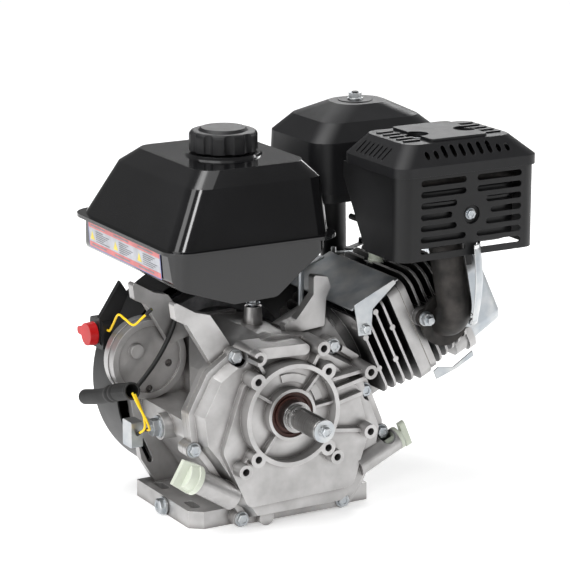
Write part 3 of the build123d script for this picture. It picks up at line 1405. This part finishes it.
with BuildPart() as cooling_fan:
    with BuildSketch(on_crank(FLYWHEEL_X - 24)):
        Circle(102)
        Circle(30, mode=Mode.SUBTRACT)
    extrude(amount=-3)
    for blade in range(16):
        with BuildSketch(on_crank(FLYWHEEL_X - 27)):
            with PolarLocations(82, 1, start_angle=blade * 22.5):
                Rectangle(38, 3, rotation=25)
        extrude(amount=-20)
finish(cooling_fan, "cooling_fan")

with BuildPart() as starter_cup:
    with BuildSketch(on_crank(FLYWHEEL_X - 32)):
        Circle(42)
        Circle(8.2, mode=Mode.SUBTRACT)
    extrude(amount=-3)
    with BuildSketch(on_crank(FLYWHEEL_X - 32)):
        Circle(42)
        Circle(39, mode=Mode.SUBTRACT)
    extrude(amount=-24)
    with BuildSketch(on_crank(FLYWHEEL_X - 35)):
        RegularPolygon(12, 6, major_radius=False)
        Circle(8, mode=Mode.SUBTRACT)
    extrude(amount=-14)
finish(starter_cup, "starter_cup_and_nut")

HOUSING_X = (-128.0, BACK_X - 2)
HOUSING_R = 128.0
HOUSING_T = 1.6
HOUSING_TOP = 118.0  # flattened under the tank, above the crank axis


def housing_profile(plane, inset):
    """Drum around the flywheel joined to the duct over the cylinder fins."""
    with BuildSketch(plane) as outline:
        Circle(HOUSING_R - inset)
        with Locations((0, HOUSING_TOP - inset)):
            Rectangle(2 * HOUSING_R, HOUSING_R, align=(Align.CENTER, Align.MIN), mode=Mode.SUBTRACT)
        with Locations(Location((84 * slant_cos + 6, 84 * slant_sin), SLANT)):
            Rectangle(168 - 2 * inset, 156 - 2 * inset)
        fillet(outline.vertices(), 12)
    return outline.sketch


with BuildPart() as blower_housing:
    extrude(housing_profile(on_crank(HOUSING_X[0]), 0), amount=HOUSING_X[1] - HOUSING_X[0])
    extrude(housing_profile(on_crank(HOUSING_X[0] + HOUSING_T), HOUSING_T), amount=100, mode=Mode.SUBTRACT)
    with BuildSketch(on_crank(HOUSING_X[0])):
        Circle(84)
    extrude(amount=HOUSING_T, mode=Mode.SUBTRACT)
    with BuildSketch(on_crank(HOUSING_X[0])):
        with PolarLocations(93, 3, start_angle=90):
            Circle(3.2)
    extrude(amount=HOUSING_T, mode=Mode.SUBTRACT)
    # cut-out around the front foot
    add(rounded_box((-74, -114, 0), (-60, -43, FOOT_HEIGHT + 1), 1), mode=Mode.SUBTRACT)
finish(blower_housing, "blower_housing")

RECOIL_X = (-209.0, HOUSING_X[0])
with BuildPart() as recoil_cover:
    with BuildSketch(on_crank(RECOIL_X[1])):
        Circle(98)
        Circle(80, mode=Mode.SUBTRACT)
    extrude(amount=-2)
    with BuildSketch(on_crank(RECOIL_X[1])):
        Circle(88)
    extrude(amount=RECOIL_X[0] - RECOIL_X[1], taper=9)
    with BuildSketch(on_crank(RECOIL_X[1])):
        Circle(86)
    extrude(amount=RECOIL_X[0] - RECOIL_X[1] + 2, taper=9, mode=Mode.SUBTRACT)
    for ring_r, count, length in ((60, 18, 14), (38, 12, 12)):
        with BuildSketch(on_crank(RECOIL_X[0] - 1)):
            with PolarLocations(ring_r, count):
                SlotOverall(length, 5)
        extrude(amount=6, mode=Mode.SUBTRACT)
    with BuildSketch(on_crank(RECOIL_X[0] + 2)):
        Circle(9)
    extrude(amount=34)
    with BuildSketch(on_crank(RECOIL_X[1] - 2)):
        with PolarLocations(93, 3, start_angle=90):
            Circle(3.2)
    extrude(amount=2, mode=Mode.SUBTRACT)
    # rope exit towards the head
    with BuildSketch(Plane((-178, CRANK_Y + 60, CRANK_Z + 60), x_dir=(1, 0, 0), z_dir=(0, 1, 0))):
        Circle(12)
    extrude(amount=26)
    with BuildSketch(Plane((-178, CRANK_Y + 40, CRANK_Z + 60), x_dir=(1, 0, 0), z_dir=(0, 1, 0))):
        Circle(3.6)
    extrude(amount=60, mode=Mode.SUBTRACT)
finish(recoil_cover, "recoil_cover")

REEL_R = 60.0
with BuildPart() as starter_reel:
    with BuildSketch(on_crank(-186)):
        Circle(REEL_R + 8)
        Circle(9.5, mode=Mode.SUBTRACT)
    extrude(amount=4)
    with BuildSketch(on_crank(-182)):
        Circle(REEL_R - 1)
        Circle(9.5, mode=Mode.SUBTRACT)
    extrude(amount=8)
    with BuildSketch(on_crank(-174)):
        Circle(REEL_R + 8)
        Circle(9.5, mode=Mode.SUBTRACT)
    extrude(amount=4)
    with BuildSketch(on_crank(-170)):
        Circle(30)
        Circle(20, mode=Mode.SUBTRACT)
    extrude(amount=28)
finish(starter_reel, "starter_reel")

with BuildPart() as starter_grip:
    grip_plane = Plane((-178, CRANK_Y + 87, CRANK_Z + 60), x_dir=(1, 0, 0), z_dir=(0, 1, 0))
    with BuildSketch(grip_plane):
        Circle(8)
    extrude(amount=10)
    with BuildSketch(grip_plane.offset(8)):
        with Locations((0, 0)):
            RectangleRounded(24, 84, 9)
    extrude(amount=22)
    with BuildSketch(grip_plane.offset(-46)):
        Circle(2.5)
    extrude(amount=46)
finish(starter_grip, "starter_grip")

COIL_R = 111.0
with BuildPart() as ignition_coil:
    with BuildSketch(on_crank(FLYWHEEL_X - 18)):
        with PolarLocations(COIL_R + 1, 1, start_angle=-12):
            Rectangle(24, 34)
    extrude(amount=16)
    with BuildSketch(on_crank(FLYWHEEL_X - 16)):
        with PolarLocations(COIL_R - 2, 1, start_angle=-24):
            Rectangle(20, 8)
        with PolarLocations(COIL_R - 2, 1, start_angle=0):
            Rectangle(20, 8)
    extrude(amount=BACK_X - FLYWHEEL_X + 16)
finish(ignition_coil, "ignition_coil")

# ---------------------------------------------------------------- fasteners
with BuildPart() as flange_bolts_m8:
    with Locations(across(FLANGE_X)):
        with Locations(*COVER_BOLTS):
            add(flange_bolt(8, 26))
    with Locations(on_cylinder(HEAD_JOINT + 9)):
        with Locations(*HEAD_BOLT_PLACES):
            add(flange_bolt(8, 28))
    with Locations(facing_up(POST_TOP_Z + 2.5)):
        with Locations(POST_PLACE):
            add(flange_bolt(8, 16))
finish(flange_bolts_m8, "flange_bolts_m8")

with BuildPart() as flange_bolts_m6:
    with Locations(Plane((FIN_EDGE_X + SHEET + 0.4, CRANK_Y, 0), x_dir=(0, 1, 0), z_dir=(1, 0, 0))):
        with Locations(SHROUD_BOLT):
            add(flange_bolt(6, 12))
    with Locations(Plane.YZ.offset(GUARD_X[1] - 3.4)):
        with Locations((guard_mid_y + 3, GUARD_Z[0] + 46)):
            add(flange_bolt(6, 2))
    with Locations(facing_up(GUARD_TOP_Z - 8 + SHEET)):
        with Locations((96, guard_mid_y - 32), (96, guard_mid_y + 32)):
            add(flange_bolt(6, 12))
    with Locations(on_cylinder(ROCKER_END)):
        with Locations((-4, ROCKER_MID)):
            add(flange_bolt(6, 12))
    with Locations(Plane((RECOIL_X[1] - 2, CRANK_Y, CRANK_Z), x_dir=(0, -1, 0), z_dir=(-1, 0, 0))):
        with PolarLocations(93, 3, start_angle=90):
            add(flange_bolt(6, 10, 0.75))
finish(flange_bolts_m6, "flange_bolts_m6")

with BuildPart() as drain_bolts:
    for x, y, facing in DRAINS:
        with Locations(Plane((x, y, FOOT_HEIGHT / 2), x_dir=(1, 0, 0), z_dir=(0, facing, 0))):
            Cylinder(9, 1.5, align=LOW)
            with Locations((0, 0, 1.5)):
                add(flange_bolt(10, 16))
finish(drain_bolts, "drain_bolts")

# ---------------------------------------------------------------- oil filler caps
with BuildPart() as oil_cap_front:
    mouth = neck_length(FRONT_NECK)
    with BuildSketch(neck_axis(FRONT_NECK, mouth - 12)):
        Circle(9.6)
    extrude(amount=12)
    with BuildSketch(neck_axis(FRONT_NECK, mouth)):
        Circle(17)
    extrude(amount=6)
    with BuildSketch(neck_axis(FRONT_NECK, mouth + 6)):
        Circle(15)
    extrude(amount=10, taper=8)
    with BuildSketch(neck_axis(FRONT_NECK, mouth + 6)):
        Rectangle(10, 34)
    extrude(amount=20, taper=6)
finish(oil_cap_front, "oil_cap_front")

with BuildPart() as oil_cap_rear:
    mouth = neck_length(REAR_NECK)
    with BuildSketch(neck_axis(REAR_NECK, mouth - 14)):
        Circle(5)
    extrude(amount=14)
    with BuildSketch(neck_axis(REAR_NECK, mouth)):
        Circle(13.5)
    extrude(amount=4)
    with BuildSketch(neck_axis(REAR_NECK, mouth + 4)):
        Rectangle(7, 12)
    extrude(amount=7)
    with BuildSketch(neck_axis(REAR_NECK, mouth + 9)):
        RectangleRounded(8, 32, 3.9)
    extrude(amount=7)
finish(oil_cap_rear, "oil_cap_rear")

# ---------------------------------------------------------------- sheet metal round the fins
PLATE_PERP = 60.0
with BuildPart() as sheet_shrouds:
    # plate over the fins
    with BuildSketch(beside_cylinder(-50, 148, PLATE_PERP)):
        with Locations((4, 0)):
            Rectangle(66, SHEET)
    extrude(amount=150)
    # leg at the output side, bolted to the crankcase
    leg_x = FIN_EDGE_X + 0.4
    with BuildSketch(across(leg_x)):
        with BuildLine():
            Polyline((88, 222), (90, 207), (106, 207), (108, 236), (138, 262), (135, 266), (84, 243), close=True)
        make_face()
    extrude(amount=SHEET)
    with BuildSketch(across(leg_x)):
        with Locations(SHROUD_BOLT):
            Circle(3.2)
    extrude(amount=SHEET, mode=Mode.SUBTRACT)
    # strip under the head
    with BuildSketch(across(leg_x)):
        with BuildLine():
            Polyline((190, 152), (194, 142), (221, 151), (244, 163), (242, 169), (216, 153), (196, 156), close=True)
        make_face()
    extrude(amount=SHEET)
finish(sheet_shrouds, "sheet_shrouds")

SWITCH_SIDE_X = -54.0
with BuildPart() as starter_boss_cover:
    with BuildSketch(across(SWITCH_SIDE_X)):
        with Locations(STARTER_BOSS):
            Circle(STARTER_BOSS_R - 1)
    extrude(amount=9)
    with BuildSketch(across(SWITCH_SIDE_X + 9)):
        with Locations(STARTER_BOSS):
            Circle(STARTER_BOSS_R - 1)
            Circle(STARTER_BOSS_R - 8, mode=Mode.SUBTRACT)
    extrude(amount=3)
    with BuildSketch(across(SWITCH_SIDE_X + 9)):
        with Locations((-113, 182)):
            Circle(9)
    extrude(amount=5, taper=12)
    with BuildSketch(across(SWITCH_SIDE_X + 3)):
        with Locations((-66, 204), (-72, 162), (-97, 135)):
            Circle(4.5)
    extrude(amount=12, mode=Mode.SUBTRACT)
finish(starter_boss_cover, "starter_boss_cover")

# ---------------------------------------------------------------- switch and wiring
SWITCH_X = -82.0
with BuildPart() as switch_plate:
    with BuildSketch(across(SWITCH_X)):
        with BuildLine():
            Polyline((-116, 256), (-106, 240), (-127, 200), (-134, 178), (-143, 186), (-143, 216), close=True)
        make_face()
    extrude(amount=6)
    with BuildSketch(facing_front(CRANK_Y - 130)):
        with Locations((-89, 196)):
            RectangleRounded(34, 34, 5)
    extrude(amount=10.7)
    with BuildSketch(facing_front(CRANK_Y - 140.7)):
        with Locations((-89, 196)):
            Circle(9)
    extrude(amount=3)
finish(switch_plate, "switch_plate")

with BuildPart() as switch_knob:
    with BuildSketch(facing_front(CRANK_Y - 144)):
        with Locations((-89, 196)):
            Circle(13.5)
    extrude(amount=10, taper=4)
    with BuildSketch(facing_front(CRANK_Y - 146)):
        with Locations((-101, 196)):
            RectangleRounded(26, 9, 4)
    extrude(amount=7)
finish(switch_knob, "switch_knob")

SLEEVE_POINTS = [(-112, -156, 115), (-66, -158, 128), (-26, -158, 143), (10, -156, 154)]
with BuildPart() as wiring_sleeve:
    add(lead(SLEEVE_POINTS, 10.5))
    add(lead(SLEEVE_POINTS, 8.5), mode=Mode.SUBTRACT)
finish(wiring_sleeve, "wiring_sleeve")

YELLOW_ROUTES = [
    [(-54, -146, 214), (-36, -148, 229), (-18, -149, 229), (-2, -147, 226), (12, -143, 238), (20, -136, 247)],
    [(14, -155, 151), (21, -153, 140), (26, -150, 126), (22, -148, 112), (4.6, -148, 101)],
]
with BuildPart() as yellow_leads:
    for route in YELLOW_ROUTES:
        add(lead(route, 2.2))
finish(yellow_leads, "yellow_leads")

BLACK_ROUTE = [
    (-22, -146, 136), (-24, -131, 149), (-26, -113, 166), (-26, -99, 185), (-26, -88, 205), (-27, -80, 226),
]
with BuildPart() as black_lead:
    add(lead(BLACK_ROUTE, 2.6))
finish(black_lead, "black_lead")

with BuildPart() as oil_level_switch:
    with BuildSketch(facing_front(CRANK_Y - 113)):
        with Locations((10, 108)):
            Circle(12.5)
    extrude(amount=2)
    with BuildSketch(facing_front(CRANK_Y - 115)):
        with Locations((10, 108)):
            RegularPolygon(9, 6, major_radius=False)
    extrude(amount=8)
    with BuildSketch(facing_front(CRANK_Y - 123)):
        with Locations((10, 108)):
            Circle(4)
    extrude(amount=6)
    with BuildSketch(facing_front(CRANK_Y - 130)):
        with Locations((-7, 100)):
            RectangleRounded(22, 30, 2)
    extrude(amount=14)
finish(oil_level_switch, "oil_level_switch")

with BuildPart() as governor_arm:
    with BuildSketch(facing_up(GOVERNOR_Z - 66)):
        with Locations(GOVERNOR_PLACE):
            Circle(3.5)
    extrude(amount=70)
    with BuildSketch(facing_up(GOVERNOR_Z)):
        with Locations(GOVERNOR_PLACE):
            Circle(7)
        with Locations(Location((-4, 79, 0), 124)):
            SlotCenterToCenter(50, 9)
    extrude(amount=2)
finish(governor_arm, "governor_arm")
